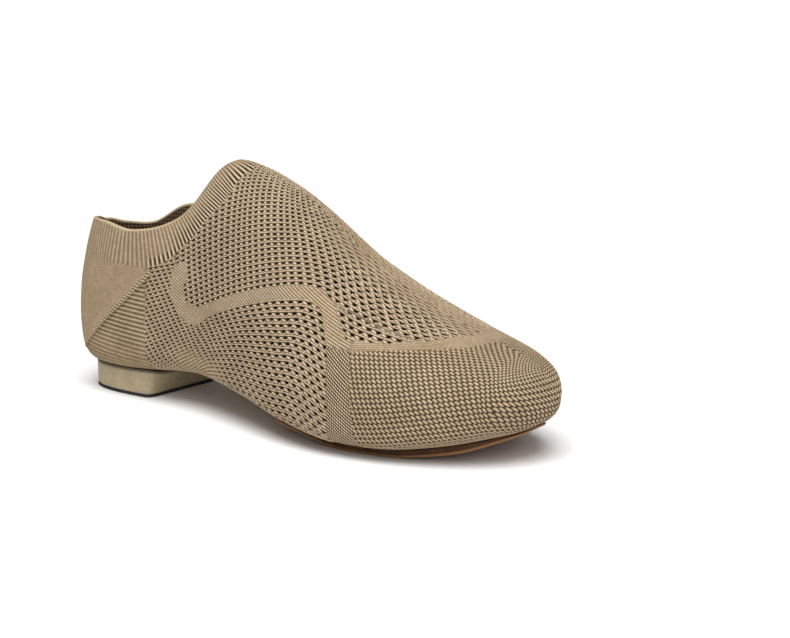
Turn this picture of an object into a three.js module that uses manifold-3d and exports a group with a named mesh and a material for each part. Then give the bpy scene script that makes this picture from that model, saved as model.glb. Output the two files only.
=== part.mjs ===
// Slip-on jazz shoe for the right foot, standing empty on its heel and its forefoot sole.
// Millimetres. X runs from heel to toe, +Y to the inner side of the foot, Z up from the floor.
// The origin is the middle of the heel lift's floor face.
import * as THREE from 'three';
import { mergeVertices } from 'three/addons/utils/BufferGeometryUtils.js';
import Module from 'manifold-3d';

const wasm = await Module();
wasm.setup();

// Upper
const LENGTH = 252;           // back of the heel to the tip of the toe
const BALL_WIDTH = 85;        // across the ball of the foot
const INSTEP_HEIGHT = 109;    // floor to the front peak of the collar
const COLLAR_BACK = 78;       // floor to the collar at the back of the heel
const COLLAR_WAVE = 6;        // height of the collar edge's rise beside the heel
const COLLAR_TILT = 9;        // how much higher the inner side of the collar is
const COLLAR_BAND = 14;       // width of the ribbed collar band
const COLLAR_SWELL = 0.6;     // how far the band stands proud of the plain knit
const WALL = 1.8;             // knit wall
const COUNTER_HEIGHT = 36;    // floor to the fullest point of the heel's back
const COUNTER_LEAN = 6.3;      // forward lean of the back above that point, at the collar
const COUNTER_TUCK = 5;       // forward tuck of the back below that point, at the heel seat
const INSTEP_SHIFT = 3.7;     // how far the instep ridge sits towards the inner side
const TOE_SWING = 5;          // how far the toe swings towards the inner side

// Insole, forefoot sole and heel
const INSOLE_THICKNESS = 2.5;
const INSOLE_END = 6;         // distance of the insole's ends from the ends of the upper
const SOLE_THICKNESS = 2.7;
const SOLE_BACK = 138;        // back of the heel to the rear edge of the forefoot sole
const SOLE_NARROWING = 20;    // forefoot sole across the ball, narrower than the upper
const SOLE_TOE_INSET = 5;     // front of the sole, behind the tip of the toe
const SOLE_BOW = 7;           // how far that rear edge bows back in the middle
const HEEL_BLOCK_HEIGHT = 9.7;
const HEEL_LIFT_HEIGHT = 1.5;
const HEEL_FRONT = 55;        // back of the heel to the foot of the heel's straight front
const HEEL_RAKE = 4;          // how far that front leans forward at its top
const HEEL_CORNER = 4;        // corner radius beside that front
const HEEL_INSET = 6.5;       // heel's edge, inside the upper's widest line
const GAP = 0.3;              // between pieces that meet on a curve

const HEEL_SEAT = HEEL_LIFT_HEIGHT + HEEL_BLOCK_HEIGHT + GAP;
const BALL_SEAT = SOLE_THICKNESS + GAP;
const HEEL_MIDDLE = (HEEL_INSET + HEEL_FRONT) / 2;

// Cross-sections of the upper from heel to toe, one row each.
// x: place, share of LENGTH.  outer, inner: half widths, shares of BALL_WIDTH.
// heel: share of the heel seat's height in the underside, the rest is the ball's seat.
// rise: underside above that seat, share of the way up to the widest line.
// top, widest: heights of the ridge and of the widest line, shares of INSTEP_HEIGHT.
// crown, belly: fullness of the section above and below the widest line, 2 is an ellipse.
// swing: centre line towards the inner side, share of TOE_SWING.
// rings: rings of facets up to the next section.
const COLUMNS = ['x', 'outer', 'inner', 'heel', 'rise', 'top', 'widest', 'crown', 'belly', 'swing', 'rings'];
const SECTIONS = [
  [0.000, 0.000, 0.000, 1.00, 0.57, 0.80, 0.270, 2.30, 3.0, 0.10, 4],
  [0.016, 0.175, 0.185, 1.00, 0.12, 0.80, 0.265, 2.30, 3.3, 0.10, 3],
  [0.056, 0.285, 0.295, 1.00, 0.00, 0.96, 0.260, 2.30, 3.6, 0.10, 3],
  [0.120, 0.330, 0.340, 1.00, 0.00, 1.20, 0.250, 2.30, 3.8, 0.10, 3],
  [0.200, 0.330, 0.345, 1.00, 0.03, 1.26, 0.240, 2.30, 3.4, 0.10, 3],
  [0.286, 0.315, 0.345, 1.00, 0.15, 0.925, 0.233, 2.30, 2.7, 0.06, 6],
  [0.364, 0.325, 0.355, 1.00, 0.18, 1.005, 0.213, 2.15, 2.4, 0.04, 4],
  [0.488, 0.405, 0.390, 0.80, 0.06, 0.912, 0.173, 2.00, 2.5, 0.06, 3],
  [0.596, 0.490, 0.435, 0.40, 0.00, 0.745, 0.137, 1.95, 3.1, 0.14, 3],
  [0.694, 0.525, 0.475, 0.00, 0.00, 0.592, 0.130, 2.10, 4.0, 0.32, 3],
  [0.786, 0.500, 0.475, 0.00, 0.00, 0.484, 0.148, 2.20, 4.4, 0.54, 3],
  [0.861, 0.435, 0.420, 0.00, 0.15, 0.418, 0.178, 2.20, 4.1, 0.76, 3],
  [0.925, 0.340, 0.325, 0.00, 0.33, 0.367, 0.204, 2.20, 3.5, 0.90, 3],
  [0.973, 0.205, 0.185, 0.00, 0.52, 0.306, 0.215, 2.20, 2.7, 1.00, 4],
  [1.000, 0.000, 0.000, 0.00, 1.00, 0.205, 0.205, 2.20, 2.2, 1.00, 0],
];
// Collar edge at the first sections, one row each, up to its front peak.
// wave: share of COLLAR_WAVE.  climb: share of the rise from COLLAR_BACK to INSTEP_HEIGHT.
// tilt: extra height of the inner side, share of COLLAR_TILT.
const COLLAR_COLUMNS = ['wave', 'climb', 'tilt'];
const COLLAR = [
  [0.00, 0.00, 0.00],
  [0.32, 0.00, -0.44],
  [0.50, 0.00, -0.60],
  [0.38, 0.00, 0.39],
  [-0.07, 0.00, 0.82],
  [0.00, 0.19, 0.50],
  [0.00, 1.00, 0.00],
];
const ROWS_ABOVE = 11;        // facets from the collar or ridge down to the widest line
const ROWS_BELOW = 8;         // facets from there to the middle of the underside
const OUTLINE_STEPS = 30;     // facets along one side of the sole's and insole's outlines
const HEEL_STEPS = 14;        // facets along one side of the heel
const CORNER_STEPS = 5;       // facets round a heel corner
const BOW_STEPS = 8;          // facets along the sole's rear edge
const LEAN_POWER = 1.6;       // how late the counter's lean sets in with height
const TUCK_POWER = 2;         // how late the counter's tuck sets in below
const SHIFT_POWER = 1.3;      // how late the instep's shift sets in with height
const BAND_FADE = 0.7;        // share of the collar band that has its full swell
const NEAR_END = 0.02;        // first station of an outline, just off the heel's or toe's end
const OUTER = -1;             // side of the little toe
const INNER = 1;              // side of the big toe
const TOE = SECTIONS.length - 1;
const PEAK = COLLAR.length - 1;
const COUNTER_END = 2;        // section where the heel's counter passes into the sides

const column = (name) => SECTIONS.map((row) => row[COLUMNS.indexOf(name)]);
const collarColumn = (name) => COLLAR.map((row) => row[COLLAR_COLUMNS.indexOf(name)]);

// Smooth curve through values set at whole numbers of u, with one more value past each end.
function curve(values, before, after, u) {
  const start = Math.min(Math.max(Math.floor(u), 0), values.length - 2);
  const at = (k) => (k < 0 ? before : k >= values.length ? after : values[k]);
  const [a, b, c, d] = [-1, 0, 1, 2].map((k) => at(start + k));
  const t = u - start;
  const leave = (c - a) / 2;
  const arrive = (d - b) / 2;
  return (2 * t ** 3 - 3 * t ** 2 + 1) * b + (t ** 3 - 2 * t ** 2 + t) * leave
    + (3 * t ** 2 - 2 * t ** 3) * c + (t ** 3 - t ** 2) * arrive;
}

const PLACE = column('x').map((share) => share * LENGTH);
const TOP = column('top').map((share) => share * INSTEP_HEIGHT);
const WIDEST = column('widest').map((share) => share * INSTEP_HEIGHT);
const UNDERSIDE = SECTIONS.map((row, k) => {
  const seat = BALL_SEAT + (HEEL_SEAT - BALL_SEAT) * column('heel')[k];
  return seat + (WIDEST[k] - seat) * column('rise')[k];
});
const OUTER_HALF = column('outer').map((share) => share * BALL_WIDTH);
const INNER_HALF = column('inner').map((share) => share * BALL_WIDTH);
const CROWN = column('crown');
const BELLY = column('belly');
const SWING = column('swing').map((share) => share * TOE_SWING);
const EDGE = COLLAR.map((row, k) => COLLAR_BACK + COLLAR_WAVE * collarColumn('wave')[k]
  + (INSTEP_HEIGHT - COLLAR_BACK) * collarColumn('climb')[k]);
const TILT = collarColumn('tilt').map((share) => share * COLLAR_TILT);

const placeAt = (u) => curve(PLACE, PLACE[1], PLACE[TOE - 1], u);
const topAt = (u) => curve(TOP, TOP[0], UNDERSIDE[TOE - 1], u);
const widestAt = (u) => curve(WIDEST, WIDEST[0], WIDEST[TOE], u);
const undersideAt = (u) => curve(UNDERSIDE, 2 * UNDERSIDE[0] - UNDERSIDE[1], TOP[TOE - 1], u);
const swingAt = (u) => curve(SWING, SWING[0], SWING[TOE], u);

function halfWidthAt(u, side) {
  const half = side === OUTER ? OUTER_HALF : INNER_HALF;
  return curve(half, -half[1], -half[TOE - 1], u);
}

function collarAt(u, side) {
  const along = Math.min(u, PEAK);
  const edge = curve(EDGE, EDGE[1], EDGE[PEAK], along);
  return side === INNER ? edge + curve(TILT, TILT[1], TILT[PEAK - 1], along) : edge;
}

// Section whose place is x, found by halving.
function sectionAt(x) {
  let low = 0;
  let high = TOE;
  while (high - low > 1e-9) {
    const middle = (low + high) / 2;
    if (placeAt(middle) < x) low = middle;
    else high = middle;
  }
  return low;
}

// Angle of the collar edge or the ridge in the section at u, as the section function takes it.
function topAngle(u, side) {
  if (u >= PEAK) return Math.PI / 2;
  const fullness = curve(CROWN, CROWN[0], CROWN[TOE], u);
  const share = Math.min((collarAt(u, side) - widestAt(u)) / (topAt(u) - widestAt(u)), 1);
  return Math.atan2(share, (1 - share ** fullness) ** (1 / fullness));
}

// Point of the outer skin: superellipse section at u, angle 0 at the widest line, 90 degrees at
// the ridge and -90 at the middle of the underside.
function skinPoint(u, side, angle) {
  const above = angle >= 0;
  const fullness = above ? curve(CROWN, CROWN[0], CROWN[TOE], u) : curve(BELLY, BELLY[0], BELLY[TOE], u);
  const across = Math.max(Math.cos(angle), 0);
  const up = Math.abs(Math.sin(angle));
  const reach = (across ** fullness + up ** fullness) ** (1 / fullness);
  const widest = widestAt(u);
  const height = above ? topAt(u) - widest : undersideAt(u) - widest;
  const z = widest + (height * up) / reach;
  const climb = above && height > 0 ? up / reach : 0;
  const ahead = THREE.MathUtils.clamp((u - COUNTER_END) / (PEAK - COUNTER_END), 0, 1);
  const instep = INSTEP_SHIFT * climb ** SHIFT_POWER * ahead;
  const y = (side * halfWidthAt(u, side) * across) / reach + swingAt(u) + instep;
  const x = placeAt(u) + backShift(z) * THREE.MathUtils.clamp(1 - u / PEAK, 0, 1);
  return new THREE.Vector3(x, y, z);
}

// Forward shift of the heel's back at height z.
function backShift(z) {
  const above = Math.max(z - COUNTER_HEIGHT, 0) / (COLLAR_BACK - COUNTER_HEIGHT);
  const below = Math.max(COUNTER_HEIGHT - z, 0) / (COUNTER_HEIGHT - HEEL_SEAT);
  return COUNTER_LEAN * above ** LEAN_POWER + COUNTER_TUCK * Math.min(below, 1) ** TUCK_POWER;
}

// Values of u for the rings, closer together where the collar rounds its peak, and that peak's ring.
const RINGS = [];
column('rings').forEach((count, k) => {
  for (let step = 0; step < count; step += 1) {
    const share = step / count;
    RINGS.push(k + (k === PEAK - 1 ? share * (2 - share) : share));
  }
});
RINGS.push(TOE);
const PEAK_RING = RINGS.indexOf(PEAK);
const LAST_RING = RINGS.length - 1;
const LAST_ROW = ROWS_ABOVE + ROWS_BELOW;

// Vertices of the skin. Both sides share the back line, the ridge, the underside's middle and the toe.
const skin = { points: [], ids: new Map() };
function skinId(ring, row, side) {
  const shared = ring === 0 || row === LAST_ROW || (row === 0 && ring >= PEAK_RING);
  const key = ring === LAST_RING ? 'toe' : `${ring},${row},${shared ? OUTER : side}`;
  if (!skin.ids.has(key)) {
    const u = RINGS[ring];
    const angle = row <= ROWS_ABOVE
      ? topAngle(u, side) * (1 - row / ROWS_ABOVE)
      : (-Math.PI / 2) * ((row - ROWS_ABOVE) / ROWS_BELOW);
    skin.ids.set(key, skin.points.length);
    skin.points.push(skinPoint(u, side, angle));
  }
  return skin.ids.get(key);
}

// Adds the two triangles of a four-cornered facet, leaving out any that has no area.
function addFacet(faces, a, b, c, d) {
  for (const face of [[a, b, c], [a, c, d]]) {
    if (new Set(face).size === 3) faces.push(face);
  }
}

const skinFaces = [];
for (const side of [OUTER, INNER]) {
  for (let ring = 0; ring < LAST_RING; ring += 1) {
    for (let row = 0; row < LAST_ROW; row += 1) {
      const corners = [
        skinId(ring, row, side), skinId(ring, row + 1, side),
        skinId(ring + 1, row + 1, side), skinId(ring + 1, row, side),
      ];
      if (side === INNER) corners.reverse();
      addFacet(skinFaces, ...corners);
    }
  }
}

const normals = skin.points.map(() => new THREE.Vector3());
for (const face of skinFaces) {
  const [a, b, c] = face.map((k) => skin.points[k]);
  const normal = b.clone().sub(a).cross(c.clone().sub(a));
  face.forEach((k) => normals[k].add(normal));
}
normals.forEach((normal) => normal.normalize());

const offsetSkin = (distance) => skin.points.map((p, k) => p.clone().addScaledVector(normals[k], distance));

// Collar edge as a closed loop of vertex numbers: outer side to the peak, inner side back.
const collarLoop = [];
for (let ring = 0; ring <= PEAK_RING; ring += 1) collarLoop.push([ring, OUTER]);
for (let ring = PEAK_RING - 1; ring > 0; ring -= 1) collarLoop.push([ring, INNER]);

function meshGeometry(points, faces) {
  const geometry = new THREE.BufferGeometry();
  geometry.setAttribute('position', new THREE.Float32BufferAttribute(points.flatMap((p) => p.toArray()), 3));
  geometry.setIndex(faces.flat());
  return geometry;
}

// Closed form of the upper, filled, grown or shrunk by a distance, with a flat lid over the collar.
function filledForm(distance) {
  const faces = [...skinFaces];
  for (let ring = 0; ring < PEAK_RING; ring += 1) {
    addFacet(faces, skinId(ring, 0, OUTER), skinId(ring + 1, 0, OUTER),
      skinId(ring + 1, 0, INNER), skinId(ring, 0, INNER));
  }
  return toSolid(meshGeometry(offsetSkin(distance), faces));
}

// Hollow upper: outer skin with its swollen collar band, inner skin, and a rounded rim between them.
function upperGeometry() {
  const count = skin.points.length;
  const edgeIds = collarLoop.map(([ring, side]) => skinId(ring, 0, side));
  const edge = edgeIds.map((k) => skin.points[k]);
  const outside = skin.points.map((p, k) => {
    const away = Math.min(...edge.map((q) => p.distanceTo(q)));
    const swell = COLLAR_SWELL * (1 - THREE.MathUtils.smoothstep(away, COLLAR_BAND * BAND_FADE, COLLAR_BAND));
    return p.clone().addScaledVector(normals[k], swell);
  });
  const inside = offsetSkin(-WALL);
  const rim = edgeIds.map((id, k) => {
    const along = edge[(k + 1) % edge.length].clone().sub(edge[(k + edge.length - 1) % edge.length]);
    const outwards = normals[id].clone().cross(along).normalize();
    return outside[id].clone().add(inside[id]).multiplyScalar(0.5).addScaledVector(outwards, WALL / 2);
  });
  const faces = [...skinFaces];
  skinFaces.forEach(([a, b, c]) => faces.push([a + count, c + count, b + count]));
  edgeIds.forEach((here, k) => {
    const next = (k + 1) % edgeIds.length;
    const there = edgeIds[next];
    addFacet(faces, here, there, 2 * count + next, 2 * count + k);
    addFacet(faces, 2 * count + k, 2 * count + next, there + count, here + count);
  });
  return meshGeometry([...outside, ...inside, ...rim], faces);
}

function toSolid(geometry) {
  const bare = new THREE.BufferGeometry();
  bare.setAttribute('position', geometry.getAttribute('position'));
  bare.setIndex(geometry.getIndex());
  const merged = mergeVertices(bare, 1e-4);
  return new wasm.Manifold(new wasm.Mesh({
    numProp: 3,
    vertProperties: new Float32Array(merged.getAttribute('position').array),
    triVerts: new Uint32Array(merged.getIndex().array),
  }));
}

function toGeometry(solid) {
  const mesh = solid.getMesh();
  const geometry = new THREE.BufferGeometry();
  geometry.setAttribute('position', new THREE.BufferAttribute(mesh.vertProperties, 3));
  geometry.setIndex(new THREE.BufferAttribute(mesh.triVerts, 1));
  return geometry;
}

// Upright prism over a plan outline, from one height to another.
function prism(outline, from, to) {
  const options = { depth: to - from, bevelEnabled: false };
  const geometry = new THREE.ExtrudeGeometry(new THREE.Shape(outline), options).translate(0, 0, from);
  return toSolid(geometry);
}

// Prism across the shoe over a side outline, given as x and height, wider than the shoe.
function crossPrism(outline) {
  const options = { depth: 2 * BALL_WIDTH, bevelEnabled: false };
  const geometry = new THREE.ExtrudeGeometry(new THREE.Shape(outline), options);
  return toSolid(geometry.rotateX(Math.PI / 2).translate(0, BALL_WIDTH, 0));
}

// Point of the upper's plan outline at u.
const planPoint = (u, side) => new THREE.Vector2(placeAt(u), side * halfWidthAt(u, side) + swingAt(u));

// Evenly spaced numbers from one value to another.
function steps(from, to, count) {
  return Array.from({ length: count + 1 }, (_, k) => from + ((to - from) * k) / count);
}

// Forefoot sole: a patch that follows the underside, flat on the floor under the ball. Its outline
// is the upper's, drawn in towards the middle line and back from the toe.
function forefootSoleGeometry() {
  const narrower = 1 - SOLE_NARROWING / BALL_WIDTH;
  const shorter = 1 - SOLE_TOE_INSET / (LENGTH - SOLE_BACK);
  const outline = (u, side) => {
    const p = planPoint(u, side);
    return new THREE.Vector2(SOLE_BACK + (p.x - SOLE_BACK) * shorter,
      swingAt(u) + (p.y - swingAt(u)) * narrower);
  };
  const stations = steps(sectionAt(SOLE_BACK), TOE - NEAR_END, OUTLINE_STEPS);
  const outer = stations.map((u) => outline(u, OUTER));
  const inner = stations.map((u) => outline(u, INNER)).reverse();
  const from = inner[inner.length - 1];
  const to = outer[0];
  const middle = new THREE.Vector2(SOLE_BACK - 2 * SOLE_BOW, (from.y + to.y) / 2);
  const bow = new THREE.QuadraticBezierCurve(from, middle, to).getPoints(BOW_STEPS).slice(1, -1);
  const plan = prism([...outer, ...inner, ...bow], 0, WIDEST[TOE]);
  const places = steps(SOLE_BACK - 2 * SOLE_BOW, LENGTH - SOLE_TOE_INSET / 2, OUTLINE_STEPS);
  const below = places.map((x) => new THREE.Vector2(x, Math.max(undersideAt(sectionAt(x)) - BALL_SEAT, 0)));
  const above = [new THREE.Vector2(places[places.length - 1], INSTEP_HEIGHT),
    new THREE.Vector2(places[0], INSTEP_HEIGHT)];
  return toGeometry(plan.intersect(crossPrism([...below, ...above])).subtract(filledForm(GAP)));
}

// Point of the plan outline at u, moved inwards to the heel's edge.
function heelPoint(u, side) {
  const step = 0.01;
  const along = planPoint(u + step, side).sub(planPoint(u - step, side)).normalize();
  return planPoint(u, side).add(new THREE.Vector2(along.y, -along.x).multiplyScalar(side * HEEL_INSET));
}

// Plan outline of the heel: the upper's outline moved inwards, and a straight front at a place x.
function heelOutline(front) {
  const end = sectionAt(front - HEEL_CORNER);
  const outer = steps(NEAR_END, end, HEEL_STEPS).map((u) => heelPoint(u, OUTER));
  const inner = steps(NEAR_END, end, HEEL_STEPS).map((u) => heelPoint(u, INNER));
  const corner = (last, side) => new THREE.QuadraticBezierCurve(last, new THREE.Vector2(front, last.y),
    new THREE.Vector2(front, last.y - side * HEEL_CORNER)).getPoints(CORNER_STEPS).slice(1);
  return [...outer, ...corner(outer[HEEL_STEPS], OUTER),
    ...corner(inner[HEEL_STEPS], INNER).reverse(), ...inner.reverse()];
}

// Heel block: D-shaped, raked at the front, dished on top to take the heel of the upper.
function heelBlockGeometry() {
  const full = prism(heelOutline(HEEL_FRONT + HEEL_RAKE), HEEL_LIFT_HEIGHT, WIDEST[COUNTER_END]);
  const top = HEEL_SEAT + HEEL_RAKE;
  const side = crossPrism([
    new THREE.Vector2(0, HEEL_LIFT_HEIGHT), new THREE.Vector2(HEEL_FRONT, HEEL_LIFT_HEIGHT),
    new THREE.Vector2(HEEL_FRONT + HEEL_RAKE, top), new THREE.Vector2(0, top),
  ]);
  return toGeometry(full.intersect(side).subtract(filledForm(GAP)));
}

function heelLiftGeometry() {
  return toGeometry(prism(heelOutline(HEEL_FRONT), 0, HEEL_LIFT_HEIGHT));
}

// Insole: a sheet on the floor of the upper, following its arch and trimmed to its inner wall.
function insoleGeometry() {
  const places = steps(INSOLE_END, LENGTH - INSOLE_END, OUTLINE_STEPS);
  const height = WALL + GAP + INSOLE_THICKNESS;
  const above = places.map((x) => new THREE.Vector2(x, undersideAt(sectionAt(x)) + height));
  const below = [new THREE.Vector2(LENGTH - INSOLE_END, 0), new THREE.Vector2(INSOLE_END, 0)];
  return toGeometry(filledForm(-WALL - GAP).intersect(crossPrism([...below, ...above])));
}

const finish = (color, roughness) => new THREE.MeshStandardMaterial({ color, roughness, metalness: 0 });

const pieces = [
  ['upper', upperGeometry(), finish(0xb39e7c, 0.95)],
  ['insole', insoleGeometry(), finish(0x4a3a2b, 0.95)],
  ['forefoot_sole', forefootSoleGeometry(), finish(0x7b4a2b, 0.9)],
  ['heel_block', heelBlockGeometry(), finish(0xb0a081, 0.7)],
  ['heel_lift', heelLiftGeometry(), finish(0x2a2a2c, 0.8)],
];

const shoe = new THREE.Group();
for (const [name, geometry, material] of pieces) {
  geometry.computeVertexNormals();
  const mesh = new THREE.Mesh(geometry, material);
  mesh.name = name;
  shoe.add(mesh);
}
shoe.position.set(-HEEL_MIDDLE, 0, 0);

export default shoe;
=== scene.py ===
"""Looks of a knitted jazz shoe: a one-piece knit upper with a rolled collar, a dark lining and insole,
a suede forefoot sole, and a small leather heel with a black lift.

The form is the last shape drawn by section stations from the heel to the toe, in millimetres with x from
the back of the heel, z up from the floor, and y negative on the outer side of the foot.
"""

import math

import bpy
import numpy as np
from mathutils import Matrix


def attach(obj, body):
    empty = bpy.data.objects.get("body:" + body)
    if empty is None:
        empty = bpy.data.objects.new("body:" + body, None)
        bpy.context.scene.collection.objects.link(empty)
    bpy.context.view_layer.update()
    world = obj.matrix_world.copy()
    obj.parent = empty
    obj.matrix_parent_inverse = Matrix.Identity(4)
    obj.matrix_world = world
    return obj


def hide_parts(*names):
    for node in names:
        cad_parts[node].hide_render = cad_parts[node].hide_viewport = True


bl_info = {
    "name": "Jazz shoe looks",
    "version": (1, 0, 0),
    "blender": (4, 5, 0),
    "location": "View3D > Sidebar > Shoe",
    "description": "Builds the knit, suede, leather and rubber surfaces of a jazz shoe",
    "category": "Add Mesh",
}

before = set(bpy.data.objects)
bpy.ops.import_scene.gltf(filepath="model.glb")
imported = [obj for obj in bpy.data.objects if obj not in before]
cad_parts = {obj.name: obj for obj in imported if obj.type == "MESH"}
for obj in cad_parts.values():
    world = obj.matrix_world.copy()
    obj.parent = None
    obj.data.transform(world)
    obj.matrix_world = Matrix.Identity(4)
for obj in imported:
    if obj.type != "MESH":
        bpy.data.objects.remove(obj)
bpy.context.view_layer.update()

MM = 0.001
OUTER, INNER = -1, 1

# Sizes of the form in millimetres
LENGTH, BALL_WIDTH, INSTEP_HEIGHT = 252.0, 85.0, 109.0
COLLAR_BACK, COLLAR_WAVE, COLLAR_TILT = 78.0, 6.0, 9.0
COUNTER_HEIGHT, COUNTER_LEAN, COUNTER_TUCK = 36.0, 6.3, 5.0
INSTEP_SHIFT, TOE_SWING = 3.7, 5.0
HEEL_SEAT, BALL_SEAT = 11.5, 3.0
HEEL_MIDDLE = 30.75
INSOLE_THICKNESS, INSOLE_END, INSOLE_WIDTH = 2.5, 8.0, 0.80
SOLE_BACK, SOLE_NARROWING, SOLE_TOE_INSET, SOLE_BOW = 138.0, 20.0, 5.0, 7.0
HEEL_LIFT_HEIGHT, HEEL_FRONT, HEEL_RAKE, HEEL_INSET = 1.5, 55.0, 4.0, 6.5
RAKE_BACK, RAKE_HEIGHT = 38.0, 14.0

# Sections: place, outer and inner half width, heel raise, rise of the underside, top and widest height,
# fullness above and below, swing of the middle line
SECTIONS = np.array([
    [0.000, 0.000, 0.000, 1.00, 0.57, 0.80, 0.270, 2.30, 3.0, 0.10],
    [0.016, 0.175, 0.185, 1.00, 0.12, 0.80, 0.265, 2.30, 3.3, 0.10],
    [0.056, 0.285, 0.295, 1.00, 0.00, 0.96, 0.260, 2.30, 3.6, 0.10],
    [0.120, 0.330, 0.340, 1.00, 0.00, 1.20, 0.250, 2.30, 3.8, 0.10],
    [0.200, 0.330, 0.345, 1.00, 0.03, 1.26, 0.240, 2.30, 3.4, 0.10],
    [0.286, 0.315, 0.345, 1.00, 0.15, 0.925, 0.233, 2.30, 2.7, 0.06],
    [0.364, 0.325, 0.355, 1.00, 0.18, 1.005, 0.213, 2.15, 2.4, 0.04],
    [0.488, 0.405, 0.390, 0.80, 0.06, 0.912, 0.173, 2.00, 2.5, 0.06],
    [0.596, 0.490, 0.435, 0.40, 0.00, 0.745, 0.137, 1.95, 3.1, 0.14],
    [0.694, 0.525, 0.475, 0.00, 0.00, 0.592, 0.130, 2.10, 4.0, 0.32],
    [0.786, 0.500, 0.475, 0.00, 0.00, 0.484, 0.148, 2.20, 4.4, 0.54],
    [0.861, 0.435, 0.420, 0.00, 0.15, 0.418, 0.178, 2.20, 4.1, 0.76],
    [0.925, 0.340, 0.325, 0.00, 0.33, 0.367, 0.204, 2.20, 3.5, 0.90],
    [0.973, 0.205, 0.185, 0.00, 0.52, 0.306, 0.215, 2.20, 2.7, 1.00],
    [1.000, 0.000, 0.000, 0.00, 1.00, 0.205, 0.205, 2.20, 2.2, 1.00],
])
# Collar edge at the first sections: wave, climb to the instep, tilt of the inner side
COLLAR = np.array([
    [0.00, 0.00, 0.00], [0.32, 0.00, -0.44], [0.50, 0.00, -0.60], [0.38, 0.00, 0.39],
    [-0.07, 0.00, 0.82], [0.00, 0.19, 0.50], [0.00, 1.00, 0.00],
])
TOE, PEAK = len(SECTIONS) - 1, len(COLLAR) - 1

PLACE = SECTIONS[:, 0] * LENGTH
HALF = {OUTER: SECTIONS[:, 1] * BALL_WIDTH, INNER: SECTIONS[:, 2] * BALL_WIDTH}
SEAT = BALL_SEAT + (HEEL_SEAT - BALL_SEAT) * SECTIONS[:, 3]
TOP = SECTIONS[:, 5] * INSTEP_HEIGHT
WIDEST = SECTIONS[:, 6] * INSTEP_HEIGHT
UNDERSIDE = SEAT + (WIDEST - SEAT) * SECTIONS[:, 4]
SWING = SECTIONS[:, 9] * TOE_SWING
EDGE = COLLAR_BACK + COLLAR_WAVE * COLLAR[:, 0] + (INSTEP_HEIGHT - COLLAR_BACK) * COLLAR[:, 1]
TILT = COLLAR[:, 2] * COLLAR_TILT

# Wall of the knit, the gap kept between pieces, and the sizes of stitches, in millimetres
WALL = 1.8
GAP = 0.3
FINE_STITCH = 1.06
VAMP_PITCH = 2.35
TOE_ROW, TOE_STITCH = 1.95, 1.95
COLLAR_RIB = np.array([[0, 2.1], [56, 2.1], [80, 1.35], [126, 1.35]])

# Courses of the sides: how far up the side the course under the wave band runs, at each place from the
# back of the heel, and how far apart the courses are there
SIDE_COURSE = np.array([
    [40, -6], [60.5, 1.2], [69.2, 5.0], [81.5, 11.4], [92, 16.2], [101, 23.3], [119.4, 32.5], [141.7, 42.3],
    [155.5, 46.6], [163.6, 46.2], [172, 43.2], [180, 40], [200, 34],
])
SIDE_PITCH = np.array([
    [40, 1.95], [60.5, 1.95], [75, 1.8], [94, 1.55], [105, 1.72], [124, 2.05], [142, 2.4], [155, 2.55],
    [175, 2.6], [200, 2.6],
])
# The course that runs on top of the wave band
VAMP_COURSE = np.array([
    [60, 6], [75, 14.5], [91.6, 23.8], [116, 36.3], [127.2, 41.4], [143.4, 48.7], [153.1, 52], [162, 53],
    [176, 48.8], [188.6, 44.4], [200, 40.7], [210.5, 37.7], [230, 33], [252, 30],
])
# How far a column of stitches moves back for each millimetre up, and the width of a stitch, at each place
SIDE_LEAN = np.array([[40, 0.45], [70, 0.55], [100, 0.65], [137, 0.71], [200, 0.71]])
SIDE_STITCH = np.array([[40, 2.8], [90, 2.9], [112, 3.6], [128, 4.2], [200, 4.2]])
VAMP_LEAN = np.array([
    [60, 0.2], [116, 0.26], [128, 0.345], [145, 0.447], [160.6, 0.63], [178, 0.88], [230, 0.95],
])
VAMP_STITCH = np.array([[60, 3.4], [145, 3.4], [152, 3.8], [170, 4.3], [252, 4.4]])
# Width of the plain collar band at each length along the collar edge from the middle of the back
BAND_WIDTH = np.array([
    [0, 18], [20, 17.5], [38, 17], [54, 15], [61, 16], [68, 16.5], [74, 14.9], [80, 12.8], [90, 14.6],
    [96, 16.5], [103, 18.2], [108, 17.6], [114, 15.5], [119, 12.6], [124, 7],
])
# Outline of the plain wave band, as place along the shoe and length up the side from the widest line
WAVE_BAND = np.array([
    [74.3, 35], [74.4, 28], [78.3, 19.9], [86, 15.4], [92.4, 16.3], [100.5, 23], [119.7, 32.4], [142, 42.6],
    [155.5, 46.6], [163.6, 44.3], [168.5, 36.8], [172.7, 27.4], [174.2, 22.7], [177.5, 8.4], [178, 3],
    [178, -30], [192, -30], [190.4, -6.7], [189.7, 1.4], [187.9, 9.3], [185.7, 19], [182.8, 28.4],
    [195.7, 30], [210.2, 31.8], [219, 34.6], [222.5, 40], [224, 48], [224.4, 70], [217.8, 70],
    [217.6, 54], [215.4, 46.1], [207.6, 37.9], [194.3, 33.6], [179.2, 33], [173.8, 40.7], [167.8, 47.9],
    [161.3, 52.5], [153.1, 52], [143.3, 48.7], [127.1, 41.4], [115.8, 36.3], [91.6, 23.8], [85.1, 24.5],
    [82.2, 30.3], [84.5, 37], [82, 42], [76, 40],
])
# Seam of loops in front of the counter, in the same measures, and the front edge of the quarter
SEAM = np.array([[14, -8.5], [20.3, -3.0], [33.9, 9.0], [44.8, 18.0], [54.3, 26.3], [63.5, 34.5]])
QUARTER_FRONT = 60.5
# Borders of the toe panel, and where its stitches turn from following the sides to following the tip
TOE_BACK, TOE_TOP, TOE_FRONT = 180.5, 32.0, 221.5
TIP_START, TIP_MIDDLE, TIP_END = 234, 240, 248
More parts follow.
